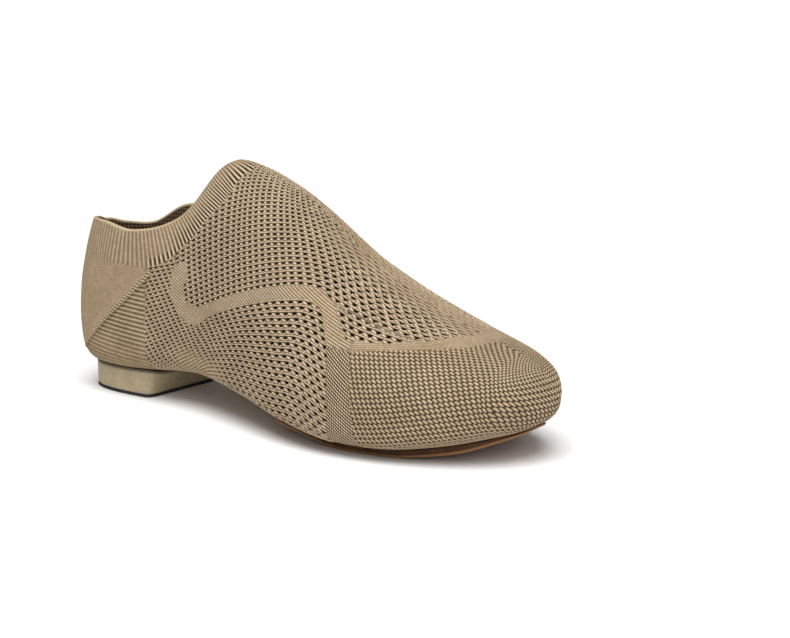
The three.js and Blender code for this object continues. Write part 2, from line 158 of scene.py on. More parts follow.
# Pitches of the level ribs, of the seam's turns, of the counter's fine ribs and of the wave band's ribs
LEVEL_RIB, SEAM_TURN, COUNTER_RIB = 2.05, 1.9, 1.05
BAND_RIB, TAIL_RIB, BRANCH_RIB = 1.3, 1.25, 0.95
# Section numbers of the ball, of the last section near the collar, and of the lining's front end
BALL, COLLAR_REACH, LINING_END = 8, 8.2, 10.5
# How far the collar ribs are fanned round the peak, and how far the sole's front end is raised
RIB_FAN, SOLE_RAISE = 6, 0.60

# The fields of the knit as they are kept on the mesh, three to an attribute
FIELDS = {
    "mesh_field": ("rows", "stitches", "open"),
    "toe_field": ("toe_rows", "toe_stitches", "toe"),
    "fine_field": ("fine_ribs", "fine", "flat"),
    "heel_field": ("levels", "strength", "level"),
    "seam_field": ("turns", "loops", "shade"),
    "collar_field": ("collar_ribs", "slit", "collar"),
}

# Number of columns along the shoe and of rows down each side
ALONG, DOWN = 760, 230
SKIN_PARTS = ("knit_heel", "knit_quarter", "knit_waist", "knit_ball", "knit_toe")

# Colours of the knit and of the lining, lightest first, and of their holes
# Each set of three tones is a lit, a middle and a shaded copy of one colour: painted light and shade
TAN_TONES = (0.68, 0.545, 0.39), (0.285, 0.206, 0.122), (0.050, 0.031, 0.015)
# The near-black of the holes is painted shade: the shoe's dark inside seen through them
TAN_HOLE = (0.010, 0.006, 0.003)
LINING_TONES = (0.34, 0.235, 0.155), (0.175, 0.115, 0.070), (0.05, 0.032, 0.02)
# The lining's near-black holes are painted shade as well
LINING_HOLE = (0.012, 0.007, 0.004)
# Stage: the place the camera aims at and its shift to the right and up in metres, the lens in millimetres,
# the floor's reach in millimetres, the light from all round, and each sun's power, spread and turn
CAMERA_AIM, CAMERA_SHIFT, CAMERA_LENS = (0.125, 0, 0.040), (0.04407, 0.00212), 57.49
FLOOR_REACH = 9000.0
ROUND_LIGHT = 0.18
SUNS = {"top_light": (3.3, 50, (14, 8, 0)), "front_light": (0.8, 50, (58, 0, 50))}


def smooth(low, high, x):
    """Soft step from 0 at low to 1 at high, for arrays and for values of a material."""
    t = np.minimum(np.maximum((x - low) / (high - low), 0), 1)
    return t * t * (3 - 2 * t)


def curve(values, before, after, u):
    """Smooth curve through values at 0, 1, 2 and so on, with slopes from the neighbours on both sides."""
    q = np.concatenate([[before], values, [after]])
    start = np.clip(np.floor(u).astype(int), 0, len(values) - 2)
    a, b, c, d = q[start], q[start + 1], q[start + 2], q[start + 3]
    t = u - start
    return ((2 * t**3 - 3 * t**2 + 1) * b + (t**3 - 2 * t**2 + t) * (c - a) / 2
            + (3 * t**2 - 2 * t**3) * c + (t**3 - t**2) * (d - b) / 2)


def through(table, x):
    """Smooth line through the points of a table of x and value, level beyond its ends."""
    spread = np.linspace(table[0, 0], table[-1, 0], 400)
    line = np.interp(spread, table[:, 0], table[:, 1])
    kernel = np.hanning(23) / np.hanning(23).sum()
    padded = np.concatenate([np.full(11, line[0]), line, np.full(11, line[-1])])
    return np.interp(x, spread, np.convolve(padded, kernel, "valid"))


def place_at(u):
    """Place of a section along the shoe."""
    return curve(PLACE, PLACE[1], PLACE[TOE - 1], u)


def top_at(u):
    """Height of the form's top, which the collar cuts off behind the peak."""
    return curve(TOP, TOP[0], UNDERSIDE[TOE - 1], u)


def widest_at(u):
    """Height of the widest line."""
    return curve(WIDEST, WIDEST[0], WIDEST[TOE], u)


def underside_at(u):
    """Height of the lowest line."""
    return curve(UNDERSIDE, 2 * UNDERSIDE[0] - UNDERSIDE[1], TOP[TOE - 1], u)


def swing_at(u):
    """How far the middle line lies to the inner side."""
    return curve(SWING, SWING[0], SWING[TOE], u)


def half_at(u, side):
    """Half width of one side."""
    return curve(HALF[side], -HALF[side][1], -HALF[side][TOE - 1], u)


def collar_at(u, side):
    """Height of the collar edge at section u."""
    v = np.minimum(u, PEAK)
    edge = curve(EDGE, EDGE[1], EDGE[PEAK], v)
    return edge + curve(TILT, TILT[1], TILT[PEAK - 1], v) if side == INNER else edge


def top_angle(u, side):
    """Angle in the section where the skin ends: the collar edge behind the peak, the ridge in front."""
    crown = curve(SECTIONS[:, 7], SECTIONS[0, 7], SECTIONS[TOE, 7], u)
    share = (collar_at(u, side) - widest_at(u)) / np.maximum(top_at(u) - widest_at(u), 1e-6)
    share = np.clip(share, 0, 1)
    angle = np.arctan2(share, (1 - share**crown) ** (1 / crown))
    return np.where(u >= PEAK, np.pi / 2, angle)


def skin(u, side, angle):
    """Point of the form: a fuller or flatter oval above and below the widest line, leaned at the back."""
    crown = curve(SECTIONS[:, 7], SECTIONS[0, 7], SECTIONS[TOE, 7], u)
    lower = curve(SECTIONS[:, 8], SECTIONS[0, 8], SECTIONS[TOE, 8], u)
    above = angle >= 0
    n = np.where(above, crown, lower)
    across, up = np.maximum(np.cos(angle), 0), np.abs(np.sin(angle))
    reach = (across**n + up**n) ** (1 / n)
    widest = widest_at(u)
    z = widest + np.where(above, top_at(u) - widest, underside_at(u) - widest) * up / reach
    climb = np.where(above, up / reach, 0)
    lean = INSTEP_SHIFT * climb**1.3 * np.clip((u - 2) / (PEAK - 2), 0, 1)
    y = side * half_at(u, side) * across / reach + swing_at(u) + lean
    over = np.maximum(z - COUNTER_HEIGHT, 0) / (COLLAR_BACK - COUNTER_HEIGHT)
    below = np.maximum(COUNTER_HEIGHT - z, 0) / (COUNTER_HEIGHT - HEEL_SEAT)
    shift = COUNTER_LEAN * over**1.6 + COUNTER_TUCK * np.minimum(below, 1) ** 2
    x = place_at(u) + shift * np.clip(1 - u / PEAK, 0, 1)
    return np.stack(np.broadcast_arrays(x, y, z), -1)


def stations(count):
    """Section numbers evenly spaced along the widest line from the heel to the toe."""
    u = np.linspace(0, TOE - 0.002, 6000)
    line = skin(u, OUTER, np.zeros_like(u))
    length = np.concatenate([[0], np.cumsum(np.linalg.norm(np.diff(line, axis=0), axis=1))])
    return np.interp(np.linspace(0, length[-1], count), length, u)


def side_grid(u, side, rows):
    """Rows evenly spaced down one side, closer above than below: points, length up from the widest line,
    and length down from the top."""
    share = np.linspace(0, 1, 361)[None, :]
    top = top_angle(u, side)[:, None]
    angle = top + (-np.pi / 2 - top) * share
    points = skin(u[:, None], side, angle)
    step = np.linalg.norm(np.diff(points, axis=1), axis=2)
    length = np.concatenate([np.zeros((len(u), 1)), np.cumsum(step, 1)], 1)
    weight = step * np.where(angle[:, 1:] < -0.95, 0.35, 1)
    weighed = np.concatenate([np.zeros((len(u), 1)), np.cumsum(weight, 1)], 1)
    even = np.linspace(0, 1, rows)
    chosen = np.empty((len(u), rows))
    down = np.empty((len(u), rows))
    for k in range(len(u)):
        chosen[k] = np.interp(even, weighed[k] / weighed[k, -1], angle[k])
        down[k] = np.interp(even, weighed[k] / weighed[k, -1], length[k])
    middle = np.array([np.interp(0, -angle[k], length[k]) for k in range(len(u))])[:, None]
    return skin(u[:, None], side, chosen), middle - down, down


def grid_quads(numbers):
    """Quads between the neighbouring columns and rows of a grid of vertex numbers."""
    return np.stack([numbers[:-1, :-1], numbers[:-1, 1:], numbers[1:, 1:], numbers[1:, :-1]], -1)


def shell_faces(columns, rows, peak):
    """Vertex numbers and quads of a closed shell of two side grids, joined along the bottom, the back, the
    toe tip and the ridge from column peak on. Faces point outwards."""
    outer = np.arange(columns * rows).reshape(columns, rows)
    inner = outer + columns * rows
    inner[:, -1] = outer[:, -1]
    inner[0] = outer[0]
    inner[peak:, 0] = outer[peak:, 0]
    outer[-1], inner[-1] = outer[-1, 0], outer[-1, 0]
    return outer, inner, grid_quads(outer), grid_quads(inner)[..., ::-1]


def point_normals(points, quads):
    """Average of the normals of the faces round each point, larger faces counting more."""
    a, b, c, d = (points[quads[:, k]] for k in range(4))
    face = np.cross(c - a, d - b)
    total = np.zeros_like(points)
    for k in range(4):
        for axis in range(3):
            total[:, axis] += np.bincount(quads[:, k], face[:, axis], len(points))
    return total / np.maximum(np.linalg.norm(total, axis=1, keepdims=True), 1e-12)


def make_object(name, points, quads, fields=None, normals=None):
    """Mesh object from points in millimetres and quads; points that no face uses are left out."""
    keep = quads != np.roll(quads, 1, axis=1)
    valid = keep.sum(1) >= 3
    quads, keep = quads[valid], keep[valid]
    used, numbers = np.unique(quads[keep], return_inverse=True)
    counts = keep.sum(1)
    mesh = bpy.data.meshes.new(name)
    mesh.vertices.add(len(used))
    placed = (points[used] - [HEEL_MIDDLE, 0, 0]) * MM
    mesh.vertices.foreach_set("co", placed.astype(np.float32).ravel())
    mesh.loops.add(len(numbers))
    mesh.loops.foreach_set("vertex_index", numbers.astype(np.int32).ravel())
    mesh.polygons.add(len(counts))
    mesh.polygons.foreach_set("loop_start", np.concatenate([[0], np.cumsum(counts)[:-1]]).astype(np.int32))
    mesh.update(calc_edges=True)
    mesh.polygons.foreach_set("use_smooth", np.ones(len(counts), dtype=bool))
    for field, values in (fields or {}).items():
        layer = mesh.attributes.new(field, "FLOAT_VECTOR", "POINT")
        layer.data.foreach_set("vector", values[used].astype(np.float32).ravel())
    if normals is not None:
        mesh.normals_split_custom_set_from_vertices(normals[used].tolist())
    thing = bpy.data.objects.new(name, mesh)
    bpy.context.scene.collection.objects.link(thing)
    return thing


def edge_distance(points, line):
    """Distance of each point to a line of points, and the length along the line to the nearest place."""
    length = np.concatenate([[0], np.cumsum(np.linalg.norm(np.diff(line, axis=0), axis=1))])
    best = np.full(len(points), 1e9)
    along = np.zeros(len(points))
    start, run = line[:-1], np.diff(line, axis=0)
    size = (run**2).sum(1)
    for k in range(len(run)):
        t = np.clip(((points - start[k]) @ run[k]) / size[k], 0, 1)
        far = np.linalg.norm(points - start[k] - t[:, None] * run[k], axis=1)
        nearer = far < best
        best[nearer] = far[nearer]
        along[nearer] = length[k] + t[nearer] * math.sqrt(size[k])
    return best, along


def rounded(line, reach):
    """The same line in steps of 0.35 mm with its bends rounded: each point is the mean of the line over a
    reach before it and a reach after it."""
    length = np.concatenate([[0], np.cumsum(np.linalg.norm(np.diff(line, axis=0), axis=1))])
    places = np.arange(0, length[-1], 0.35)
    count = int(reach / 0.35)
    even = [np.pad(np.interp(places, length, line[:, i]), count, mode="edge") for i in range(3)]
    window = np.full(2 * count + 1, 1 / (2 * count + 1))
    return np.stack([np.convolve(part, window, "valid") for part in even], -1)


def inside_by(outline, x, y):
    """Distance inside a closed outline, negative outside."""
    best = np.full(x.shape, 1e9)
    odd = np.zeros(x.shape, dtype=bool)
    for (ax, ay), (bx, by) in zip(outline, np.roll(outline, -1, axis=0)):
        t = np.clip(((x - ax) * (bx - ax) + (y - ay) * (by - ay)) / ((bx - ax) ** 2 + (by - ay) ** 2), 0, 1)
        best = np.minimum(best, np.hypot(x - ax - t * (bx - ax), y - ay - t * (by - ay)))
        if ay != by:
            crossing = ((ay > y) != (by > y)) & (x < ax + (y - ay) * (bx - ax) / (by - ay))
            odd ^= crossing
    return np.where(odd, best, -best)


def ring(x):
    """Wave of one turn for each whole number, from -1 to 1."""
    return np.cos(x * (2 * math.pi))


def open_mesh(rows, stitches):
    """Courses of cord with slanted holes below them, bright twisted bridges between the holes and a bright
    loop under each hole: height in millimetres, hole, and yarn brightness. The brightness is painted light
    and shade over the relief: painted highlights on the cords, bridges and loops, painted shade between
    them. Rows are counted downwards."""
    f = rows - np.floor(rows)
    g = f - 0.54
    off = stitches - np.rint(stitches)
    long, short = off * 4.1 - g * 0.9, off * 1.5 + g * 2.2
    hole = smooth(-0.35, 0.35, 1 - long * long / 1.05 - short * short / 0.25)
    beside = stitches + 0.5 - 0.25 * g
    beside = np.absolute(beside - np.rint(beside))
    bridge = smooth(0.28, 0.08, beside) * smooth(0.38, 0.50, f) * smooth(0.94, 0.80, f)
    under_x, under_y = (off - 0.02) / 0.30, (f - 0.85) / 0.13
    loop = smooth(0.0, 0.8, 1 - under_x * under_x - under_y * under_y)
    cord = smooth(0.33, 0.22, f) * smooth(-0.01, 0.08, f)
    twist = 0.5 + 0.5 * ring(3 * stitches + 1.2 * f)
    lit = np.maximum(bridge, loop * 0.9)
    height = cord * (0.34 + 0.05 * twist) + 0.20 * lit - 0.85 * hole
    # Painted shadow: thin dark lines along both edges of each cord
    line = smooth(0.25, 0.33, f) * smooth(0.43, 0.36, f) + smooth(0.90, 0.97, f)
    # The low base between the yarns is painted shade; cords and bridges add painted highlights
    yarn = 0.28 + cord * (0.46 + 0.16 * twist) + (0.54 + 0.14 * twist) * lit * (1 - cord)
    return height, hole, yarn - 0.17 * line


def close_mesh(rows, stitches):
    """Close rows of slanted stitches like grains of rice, with dark slits between them: height, gap and
    yarn brightness. The slits are painted shade and each stitch's bright bump a painted highlight."""
    row = np.floor(rows)
    f = rows - row
    shift = stitches + row * 0.60 - 0.90 * (f - 0.5)
    off = np.absolute(shift - np.rint(shift))
    aside = np.absolute(f - 0.5)
    bump = smooth(0.0, 0.95, 1.12 - off * off * 3.8 - aside * aside * 2.8)
    gap = smooth(0.30, 0.46, off) * smooth(0.18, 0.42, aside)
    slit = smooth(0.28, 0.46, off)
    return 0.20 * bump - 0.20 * gap, 0.9 * gap, 0.05 + 0.68 * bump - 0.16 * slit


def over(base, top, share):
    """One triple of height, hole and yarn brightness laid over another by a share."""
    return tuple(b + (t - b) * share for b, t in zip(base, top))


def pattern(c):
    """Height in millimetres, hole and yarn brightness of the knit, from its fields. The yarn brightness is
    painted light and shade: lighter on raised yarn and darker in grooves, slits and holes. The mesh uses it
    on arrays and the material on its own values, so both show the same stitches."""
    wave = ring(c["rows"])
    knit = over((0.10 + 0.10 * wave, 0, 0.57 + 0.16 * wave), open_mesh(c["rows"], c["stitches"]), c["open"])
    knit = over(knit, close_mesh(c["toe_rows"], c["toe_stitches"]), c["toe"])
    knit = over(knit, (0.10, 0, 0.60), c["flat"])
    level = ring(c["levels"])
    strong = c["strength"]
    knit = over(knit, (0.05 + 0.15 * level * strong, 0, 0.50 + level * (0.08 + 0.15 * strong)), c["level"])
    twist = 0.5 + 0.5 * ring(c["turns"])
    knit = over(knit, (0.15 + 0.32 * twist, 0.12 * (1 - twist), 0.36 + 0.44 * twist), c["loops"])
    wave, slit = ring(c["collar_ribs"]), c["slit"]
    low = smooth(0.15, -0.70, wave) * slit
    collar = (0.12 + 0.05 * wave - 0.15 * low, 0.95 * low * slit, 0.57 + wave * (0.14 + 0.16 * slit))
    height, hole, yarn = over(knit, collar, c["collar"])
    # The shade field darkens the yarn: painted shade below the seam and on the rim, and the band tail's own
    # darker tone
    return height, hole, yarn - 0.16 * c["shade"]


def counted(pitches, x):
    """Number of stitches up to each place, where the width of a stitch changes along the shoe."""
    line = np.linspace(-60, 320, 761)
    count = np.concatenate([[0], np.cumsum(0.5 / through(pitches, line))[:-1]])
    return np.interp(x, line, count)


def knit_fields(u, points, up, down, along, collar_line, rib_line):
    """Counts and shares that place every kind of stitch: each is one number for each point of the skin.
    The collar's width is measured from collar_line and its ribs are counted along rib_line."""
    x, c = points[..., 0], {}
    mesh_counts(c, x, up, down)
    toe_counts(c, u, points, up, along)
    panel_counts(c, x, up, along)
    collar_counts(c, u, points, collar_line, rib_line)
    return c


def mesh_counts(c, x, up, down):
    """Side mesh, fading into fine courses under the waist and towards the sole, and vamp mesh above the
    wave band."""
    waist = smooth(72, 84, x) * smooth(118, 104, x) * smooth(10, 0, up)
    below, above = through(SIDE_COURSE, x) - up, up - through(VAMP_COURSE, x)
    side, vamp = below / through(SIDE_PITCH, x), -above / VAMP_PITCH
    side_stitch = counted(SIDE_STITCH, x - through(SIDE_LEAN, x) * below)
    column = x
    for _ in range(5):
        column = x + through(VAMP_LEAN, column) * above
    vamp_stitch = counted(VAMP_STITCH, column)
    onto = (above > -3) & (x + 0.3 * (up - 30) > 79.3)
    c["rows"], c["stitches"] = np.where(onto, vamp, side), np.where(onto, vamp_stitch, side_stitch)
    ridge = smooth(14, 4, down) * smooth(138, 156, x)
    sides = smooth(-20, -9, up) * (1 - 0.85 * waist) * (1 - 0.2 * smooth(88, 68, x))
    c["open"] = np.where(onto, 1 - 0.62 * ridge, sides)


def toe_counts(c, u, points, up, along):
    """Toe of close rows of short stitches, which run along the sides and lie level and straight across at
    the tip."""
    x = points[..., 0]
    toe = smooth(TOE_BACK - 0.5, TOE_BACK + 0.5, x)
    toe = toe * smooth(TOE_TOP + 0.6, TOE_TOP - 0.6, up - 0.1 * (x - 190) - 8 * smooth(214, 226, x))
    c["toe"] = np.maximum(toe, smooth(TOE_FRONT - 0.5, TOE_FRONT + 0.5, x))
    tip = smooth(TIP_START, TIP_END, x)
    front = int(np.argmin(np.abs(place_at(u) - TIP_MIDDLE)))
    middle = int(np.argmin(np.abs(up[front])))
    across = np.abs(points[..., 1] - points[front, middle, 1])
    c["toe_rows"] = -(up + (points[..., 2] - WIDEST[TOE] - up) * tip) / TOE_ROW
    c["toe_stitches"] = (along + (along[front, middle] + across - along) * tip) / TOE_STITCH


def panel_counts(c, x, up, along):
    """Plain wave band of fine slanted ribs, triangle of level ribs in front of the seam, and the smooth
    counter above and behind the seam."""
    band = smooth(-0.4, 0.3, inside_by(WAVE_BAND, x, up))
    tail = smooth(168, 174, x) * smooth(31, 27, up)
    branch = (x > 182) & (up > 28)
    ribs = np.where(tail > 0.5, (up + 0.75 * x) / TAIL_RIB, (up + 0.42 * x) / BAND_RIB)
    ribs = np.where(branch, (up - 0.1 * x) / BRANCH_RIB, ribs)
    fine = band * (1.3 + 1.5 * tail - 0.4 * branch)
    flat = np.stack([x.ravel(), up.ravel(), 0 * x.ravel()], -1)
    seam_far, seam_along = edge_distance(flat, np.column_stack([SEAM, 0 * SEAM[:, 0]]))
    seam_far, seam_along = seam_far.reshape(x.shape), seam_along.reshape(x.shape)
    above = up - np.interp(x, SEAM[:, 0], SEAM[:, 1])
    behind = smooth(QUARTER_FRONT + 0.5, QUARTER_FRONT - 0.5, x + 0.7 * np.sin(up * 3.2))
    c["levels"], c["strength"] = (up + 0.05 * x) / LEVEL_RIB, smooth(-18, 12, up)
    c["level"] = behind * smooth(0.3, -0.3, above)
    counter = behind * smooth(-0.3, 0.3, above)
    c["flat"] = np.maximum(band, counter)
    c["turns"] = seam_along / SEAM_TURN + 0.30 * above
    c["loops"] = smooth(1.25, 0.75, seam_far) * smooth(64.5, 62.5, x)
    # Painted shade below the seam; the tail of the wave band adds the knit's own darker tone
    under = smooth(3.0, 0.9, seam_far) * (above < 0) * smooth(64, 62, x)
    c["shade"] = under * (1 - c["loops"]) + tail * band
    c["fine"] = fine * (1 - behind) + 0.30 * behind * (1 - c["loops"])
    c["fine_ribs"] = np.where(behind > 0.5, along / COUNTER_RIB, ribs)


def collar_counts(c, u, points, collar_line, rib_line):
    """Plain collar band, ribbed across, with open slits beside the vamp. Other fields end under it."""
    x, near = points[..., 0], u < COLLAR_REACH
    far, arc = edge_distance(points[near].reshape(-1, 3), collar_line)
    far, arc = far.reshape(points[near].shape[:2]), arc.reshape(points[near].shape[:2])
    width, place = through(BAND_WIDTH, arc), x[near]
    share = far / width
    for name in ("collar", "collar_ribs", "slit", "edge"):
        c[name] = np.zeros_like(x)
    c["collar"][near] = smooth(0.35, -0.35, far - width)
    ribs_at, inside = arc.copy(), far < width + 1
    ribs_at[inside] = edge_distance(points[near][inside], rib_line)[1]
    c["collar_ribs"][near] = counted(COLLAR_RIB, ribs_at)
    front = smooth(70, 82, arc) * smooth(-0.05, 0.80, share)
    fringe = smooth(59, 63, place) * smooth(86, 76, place) * smooth(0.70, 0.80, share)
    c["slit"][near] = np.maximum(front, 0.9 * fringe) * smooth(1.03, 0.95, share)
    c["edge"][near] = smooth(1.5, 0.0, far)
    for name in ("fine", "shade"):
        c[name] = c[name] * (1 - c["collar"])


def soft_folds(x, up):
    """Soft creases: a shallow flex trough behind the ball, a soft swell at the instep, and
    slack at the rear of the collar."""
    flex = -0.5 * np.exp(-(((x - 178 + 0.25 * up) / 7) ** 2)) * smooth(4, 30, up)
    swell = 0.4 * np.exp(-(((x - 162 + 0.25 * up) / 8) ** 2)) * smooth(8, 34, up)
    slack = 0.35 * np.sin((x - 30) / 9) * smooth(22, 40, up) * smooth(62, 40, x)
    return flex + swell + slack


def skin_model():
    """All points, normals, faces and fields of the knit skin, and the column of the collar's peak."""
    u = stations(ALONG)
    peak = int(np.argmax(u >= PEAK))
    u[peak] = PEAK
    grids = {side: side_grid(u, side, DOWN) for side in (OUTER, INNER)}
    outer, inner, outer_quads, inner_quads = shell_faces(ALONG, DOWN, peak)
    base = np.concatenate([grids[OUTER][0].reshape(-1, 3), grids[INNER][0].reshape(-1, 3)])
    quads = np.concatenate([outer_quads.reshape(-1, 4), inner_quads.reshape(-1, 4)])
    normals = point_normals(base, quads)
    ball = int(np.argmax(u >= BALL))
    height, counts = [], []
    ridge = grids[OUTER][1][:, 0]
    # Every second point of the collar edge of each side, from the back to the peak
    edges = {side: grids[side][0][:peak + 1, 0][::-2][::-1] for side in (OUTER, INNER)}
    for side in (OUTER, INNER):
        points, up, down = grids[side]
        step = np.linalg.norm(np.diff(points, axis=0), axis=2)
        along = np.concatenate([np.zeros((1, DOWN)), np.cumsum(step, 0)])
        along = along - along[ball]
        if side == INNER:
            gap = np.interp(np.maximum(u, PEAK), u, ridge - up[:, 0])
            up = up + (gap * smooth(2, PEAK, u))[:, None] * smooth(-10, 20, up)
        rib_line = rounded(np.concatenate([edges[side], edges[-side][-2:-60:-1]]), RIB_FAN)
        c = knit_fields(u, points, up, down, along, edges[side], rib_line)
        raised = pattern(c)[0] * (1 - c["edge"]) + 0.12 * c["edge"]
        height.append((raised + soft_folds(points[..., 0], up)).ravel())
        counts.append({name: value.ravel() for name, value in c.items()})
    height = np.concatenate(height)
    fields = {name: np.stack([np.concatenate([c[part] for c in counts]) for part in parts], -1)
              for name, parts in FIELDS.items()}
    skin_points = base + normals * height[:, None]
    return dict(u=u, peak=peak, outer=outer, inner=inner, outer_quads=outer_quads, inner_quads=inner_quads,
                base=base, normals=normals, points=skin_points, fields=fields,
                shown=point_normals(skin_points, quads))


MODEL = {}


def model():
    """The skin model, worked out once."""
    if not MODEL:
        MODEL.update(skin_model())
    return MODEL


def shader(name):
    """New material, its nodes, and its principled shader."""
    material = bpy.data.materials.new(name)
    material.use_nodes = True
    tree = material.node_tree
    return material, tree, tree.nodes["Principled BSDF"]


def node(tree, kind, inputs=None, **settings):
    """Node of a kind with its settings, and its inputs linked to sockets or set to values."""
    made = tree.nodes.new(kind)
    for key, value in settings.items():
        setattr(made, key, value)
    for key, value in (inputs or {}).items():
        if isinstance(value, bpy.types.NodeSocket):
            tree.links.new(value, made.inputs[key])
        else:
            made.inputs[key].default_value = value
    return made


def ramp(tree, factor, stops):
    """Colour ramp through stops of place and colour."""
    made = node(tree, "ShaderNodeValToRGB", {"Fac": factor})
    ends = made.color_ramp.elements
    while len(ends) < len(stops):
        ends.new(0.5)
    for element, (place, colour) in zip(ends, stops):
        element.position = place
        element.color = (*colour, 1)
    return made.outputs["Color"]


def mixed(tree, factor, a, b):
    """Two colours mixed by a factor."""
    made = node(tree, "ShaderNodeMix", data_type="RGBA")
    for key, value in ((0, factor), (6, a), (7, b)):
        if isinstance(value, bpy.types.NodeSocket):
            tree.links.new(value, made.inputs[key])
        else:
            made.inputs[key].default_value = value if key == 0 else (*value, 1)
    return made.outputs[2]


def rolled_rim(m, inside):
    """Half round from the skin's collar edge over to the lining's: its points, its quads, and the vertex of
    the skin that each point takes its fields from."""
    peak = m["peak"]
    loop = np.concatenate([m["outer"][np.r_[0:peak:2, peak], 0], m["inner"][np.r_[0:peak:2], 0][:0:-1]])
    middle, arm = (m["points"][loop] + inside[loop]) / 2, (m["points"][loop] - inside[loop]) / 2
    tangent = np.roll(middle, -1, 0) - np.roll(middle, 1, 0)
    rise = np.cross(arm, tangent)
    rise *= np.linalg.norm(arm, axis=1, keepdims=True) / np.linalg.norm(rise, axis=1, keepdims=True)
    rise *= np.sign(rise[:, 2:3])
    turn = np.linspace(0, np.pi, 11)[None, :, None]
    rim = middle[:, None] + arm[:, None] * np.cos(turn) + rise[:, None] * np.sin(turn)
    number = np.arange(rim.shape[0] * rim.shape[1]).reshape(rim.shape[:2])
    after = np.roll(number, -1, 0)
    quads = np.stack([number[:, :-1], after[:, :-1], after[:, 1:], number[:, 1:]], -1).reshape(-1, 4)
    return rim.reshape(-1, 3), quads, np.repeat(loop, rim.shape[1])


def section_of(x):
    """Section number of the form's underside at each place along the shoe."""
    line = np.linspace(0.02, TOE - 0.02, 600)
    return np.interp(x, skin(line, OUTER, np.full(600, -np.pi / 2))[:, 0], line)


def keel(x, y):
    """Height of the lowest line of the form's underside."""
    return underside_at(section_of(x)) + 0 * y


def belly(x, y):
    """Height of the form's underside over a place on the plan: the lower oval of its section there."""
    u = section_of(x)
    half = np.where(y < swing_at(u), half_at(u, OUTER), half_at(u, INNER))
    share = np.clip(np.abs(y - swing_at(u)) / np.maximum(half, 0.5), 0, 0.995)
    n = curve(SECTIONS[:, 8], SECTIONS[0, 8], SECTIONS[TOE, 8], u)
    return widest_at(u) - (widest_at(u) - underside_at(u)) * (1 - share**n) ** (1 / n)


def plan_line(side, start, stop):
    """Plan line of the widest part of one side between two places along the shoe."""
    u = np.linspace(*np.interp([start, stop], PLACE, np.arange(TOE + 1)), 200)
    return np.column_stack([place_at(u), side * half_at(u, side) + swing_at(u)])


def sole_loop():
    """The plan outline made narrower and shorter, its rear edge bowed backwards."""
    narrower, shorter = 1 - SOLE_NARROWING / BALL_WIDTH, 1 - SOLE_TOE_INSET / (LENGTH - SOLE_BACK)
    outer, inner = (plan_line(side, SOLE_BACK, LENGTH - 0.05) for side in (OUTER, INNER))
    loop = np.concatenate([outer, inner[::-1]])
    middle = swing_at(section_of(loop[:, 0]))
    loop = np.column_stack([SOLE_BACK + (loop[:, 0] - SOLE_BACK) * shorter,
                            middle + (loop[:, 1] - middle) * narrower])
    t = np.linspace(0, 1, 60)[1:-1]
    bow_x = SOLE_BACK - 4 * SOLE_BOW * t * (1 - t)
    bow_y = loop[-1, 1] + (loop[0, 1] - loop[-1, 1]) * t
    return even_loop(np.concatenate([loop, np.column_stack([bow_x, bow_y])]), 420, 7)


def heel_loop():
    """The plan outline of the heel moved inwards, with a straight front and rounded corners."""
    inner, outer = (plan_line(side, 0.05, HEEL_FRONT) for side in (INNER, OUTER))
    line = np.concatenate([inner[::-1], outer])
    tangent = np.gradient(line, axis=0)
    tangent /= np.linalg.norm(tangent, axis=1, keepdims=True)
    line = line + HEEL_INSET * np.column_stack([-tangent[:, 1], tangent[:, 0]])
    line[:, 0] = np.minimum(line[:, 0], HEEL_FRONT)
    return even_loop(line, 360, 31)


def insole_loop():
    """The plan outline narrowed to the floor inside the upper, with round ends."""
    outer, inner = (plan_line(side, INSOLE_END, LENGTH - INSOLE_END) for side in (OUTER, INNER))
    loop = np.concatenate([outer, inner[::-1]])
    middle = swing_at(section_of(loop[:, 0]))
    loop[:, 1] = middle + (loop[:, 1] - middle) * INSOLE_WIDTH
    return even_loop(loop, 420, 15)


def even_loop(points, count, blur):
    """Closed outline with evenly spaced points, its corners rounded over blur points."""
    closed = np.concatenate([points, points[:1]])
    length = np.concatenate([[0], np.cumsum(np.linalg.norm(np.diff(closed, axis=0), axis=1))])
    places = np.linspace(0, length[-1], count, endpoint=False)
    loop = np.column_stack([np.interp(places, length, closed[:, k]) for k in (0, 1)])
    weights = np.hanning(blur + 2)[1:-1]
    shifted = [np.roll(loop, k - blur // 2, axis=0) * w for k, w in enumerate(weights)]
    return sum(shifted) / weights.sum()


def inward(loop):
    """Unit vectors that point inside a loop that runs to the left."""
    tangent = np.roll(loop, -1, 0) - np.roll(loop, 1, 0)
    tangent /= np.linalg.norm(tangent, axis=1, keepdims=True)
    return np.column_stack([-tangent[:, 1], tangent[:, 0]])


